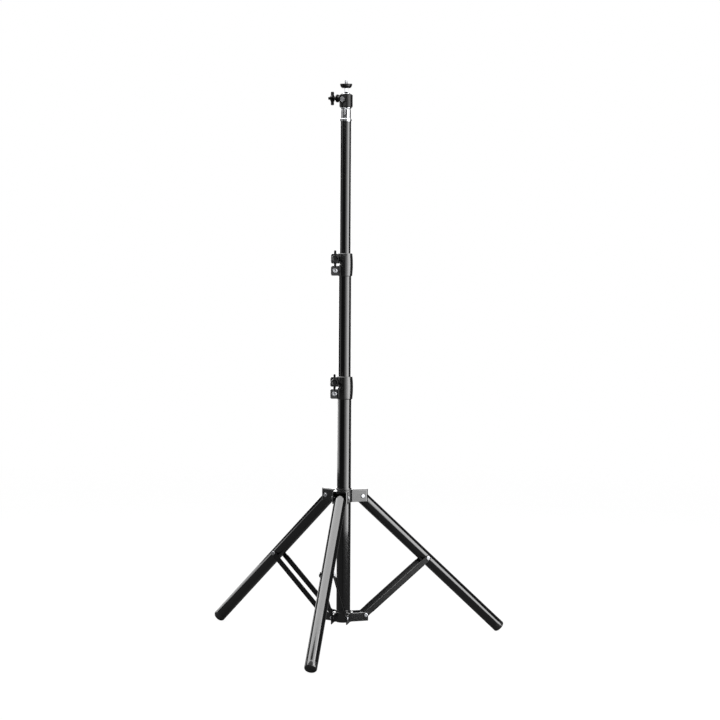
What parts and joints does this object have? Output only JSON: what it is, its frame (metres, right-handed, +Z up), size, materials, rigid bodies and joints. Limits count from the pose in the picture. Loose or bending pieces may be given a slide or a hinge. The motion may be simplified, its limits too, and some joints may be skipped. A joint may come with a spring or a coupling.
{
  "type": "tripod stand",
  "caption": "Folding tripod stand with a telescopic black tube mast, braced legs, clamp knobs and a small ball head with a mounting screw on top.",
  "frame": {"origin": "on the floor at the centre of the bounding box of the three opened feet; the mast axis stands at x = 0, y = 74.9 mm", "axes": "+Z up along the mast, front leg towards -Y, right and left legs at 120 degrees to it"},
  "size_m": [0.5446, 0.4746, 1.0014],
  "materials": {
    "black_tube": "gloss",
    "black_brace": "satin",
    "hub_plastic": "satin",
    "knob_plastic": "satin",
    "foot_rubber": "matte",
    "black_metal": "satin",
    "bright_steel": "polished",
    "chrome": "polished"
  },
  "bodies": {
    "mast_base": {"bottom_tube": "black_tube", "bottom_plug": "hub_plastic", "lower_hub": "hub_plastic", "lower_clamp": "hub_plastic", "lower_clamp_bolt": "bright_steel", "front_brace_pivots": "bright_steel", "right_brace_pivots": "bright_steel", "left_brace_pivots": "bright_steel"},
    "leg_hub": {"upper_hub": "hub_plastic", "front_leg_pin": "bright_steel", "right_leg_pin": "bright_steel", "left_leg_pin": "bright_steel"},
    "hub_knob": {"hub_lock_knob": "knob_plastic"},
    "lower_knob": {"lower_clamp_knob": "knob_plastic"},
    "middle_mast": {"middle_tube": "black_tube", "upper_clamp": "hub_plastic", "upper_clamp_bolt": "bright_steel"},
    "upper_knob": {"upper_clamp_knob": "knob_plastic"},
    "top_mast": {"top_tube": "black_tube", "spigot": "chrome", "ball_housing": "black_metal", "friction_screw": "bright_steel"},
    "ball_knob": {"ball_lock_knob": "knob_plastic"},
    "head_ball": {"ball": "chrome"},
    "head": {"head_stem": "chrome", "head_plate": "black_metal", "head_screw": "bright_steel"},
    "front_leg": {"front_leg_top": "hub_plastic", "front_leg_tube": "black_tube", "front_foot": "foot_rubber"},
    "front_brace": {"front_brace_left_bar": "black_brace", "front_brace_right_bar": "black_brace", "front_brace_rivets": "bright_steel"},
    "right_leg": {"right_leg_top": "hub_plastic", "right_leg_tube": "black_tube", "right_foot": "foot_rubber"},
    "right_brace": {"right_brace_left_bar": "black_brace", "right_brace_right_bar": "black_brace", "right_brace_rivets": "bright_steel"},
    "left_leg": {"left_leg_top": "hub_plastic", "left_leg_tube": "black_tube", "left_foot": "foot_rubber"},
    "left_brace": {"left_brace_left_bar": "black_brace", "left_brace_right_bar": "black_brace", "left_brace_rivets": "bright_steel"}
  },
  "joints": [
    {"name": "leg_fold", "type": "slide", "parent": "mast_base", "child": "leg_hub", "axis": [0, 0, 1], "range_m": [0, 0.1133]},
    {"name": "middle_extend", "type": "slide", "parent": "mast_base", "child": "middle_mast", "axis": [0, 0, 1], "range_m": [-0.1735, 0.136]},
    {"name": "top_extend", "type": "slide", "parent": "middle_mast", "child": "top_mast", "axis": [0, 0, 1], "range_m": [-0.2284, 0.116]},
    {"name": "head_pan", "type": "hinge", "parent": "top_mast", "child": "head_ball", "pos_m": [0, 0.07492, 0.9724], "axis": [0, 0, 1], "continuous": true},
    {"name": "head_tilt", "type": "hinge", "parent": "head_ball", "child": "head", "pos_m": [0, 0.07492, 0.9724], "axis": [1, 0, 0], "range_deg": [-35, 35]},
    {"name": "lower_knob_turn", "type": "hinge", "parent": "mast_base", "child": "lower_knob", "pos_m": [-0.01658, 0.06431, 0.4668], "axis": [0.2045, -0.9789, 0], "range_deg": [0, 360]},
    {"name": "upper_knob_turn", "type": "hinge", "parent": "middle_mast", "child": "upper_knob", "pos_m": [-0.01658, 0.06431, 0.6863], "axis": [0.2045, -0.9789, 0], "range_deg": [0, 360]},
    {"name": "hub_knob_turn", "type": "hinge", "parent": "leg_hub", "child": "hub_knob", "pos_m": [0, 0.0959, 0.26604], "axis": [0, 1, 0], "range_deg": [0, 360]},
    {"name": "ball_knob_turn", "type": "hinge", "parent": "top_mast", "child": "ball_knob", "pos_m": [-0.0155, 0.08056, 0.9699], "axis": [-0.9397, 0.342, 0], "range_deg": [0, 360]},
    {"name": "front_leg_swing", "type": "hinge", "parent": "leg_hub", "child": "front_leg", "pos_m": [0, 0.04392, 0.26149], "axis": [1, 0, 0], "range_deg": [0, 47.22]},
    {"name": "front_brace_swing", "type": "hinge", "parent": "mast_base", "child": "front_brace", "pos_m": [0, 0.03692, 0.046], "axis": [-1, 0, 0], "range_deg": [0, 53.74]},
    {"name": "right_leg_swing", "type": "hinge", "parent": "leg_hub", "child": "right_leg", "pos_m": [0.02685, 0.09042, 0.26149], "axis": [-0.5, 0.866, 0], "range_deg": [0, 47.22]},
    {"name": "right_brace_swing", "type": "hinge", "parent": "mast_base", "child": "right_brace", "pos_m": [0.03291, 0.09392, 0.046], "axis": [0.5, -0.866, 0], "range_deg": [0, 53.74]},
    {"name": "left_leg_swing", "type": "hinge", "parent": "leg_hub", "child": "left_leg", "pos_m": [-0.02685, 0.09042, 0.26149], "axis": [-0.5, -0.866, 0], "range_deg": [0, 47.22]},
    {"name": "left_brace_swing", "type": "hinge", "parent": "mast_base", "child": "left_brace", "pos_m": [-0.03291, 0.09392, 0.046], "axis": [0.5, 0.866, 0], "range_deg": [0, 53.74]}
  ],
  "couplings": [
    {"joint": "front_leg_swing", "follows": "leg_fold", "rad_per_m": 7.2682},
    {"joint": "front_brace_swing", "follows": "leg_fold", "rad_per_m": 8.2719},
    {"joint": "right_leg_swing", "follows": "leg_fold", "rad_per_m": 7.2682},
    {"joint": "right_brace_swing", "follows": "leg_fold", "rad_per_m": 8.2719},
    {"joint": "left_leg_swing", "follows": "leg_fold", "rad_per_m": 7.2682},
    {"joint": "left_brace_swing", "follows": "leg_fold", "rad_per_m": 8.2719}
  ]
}
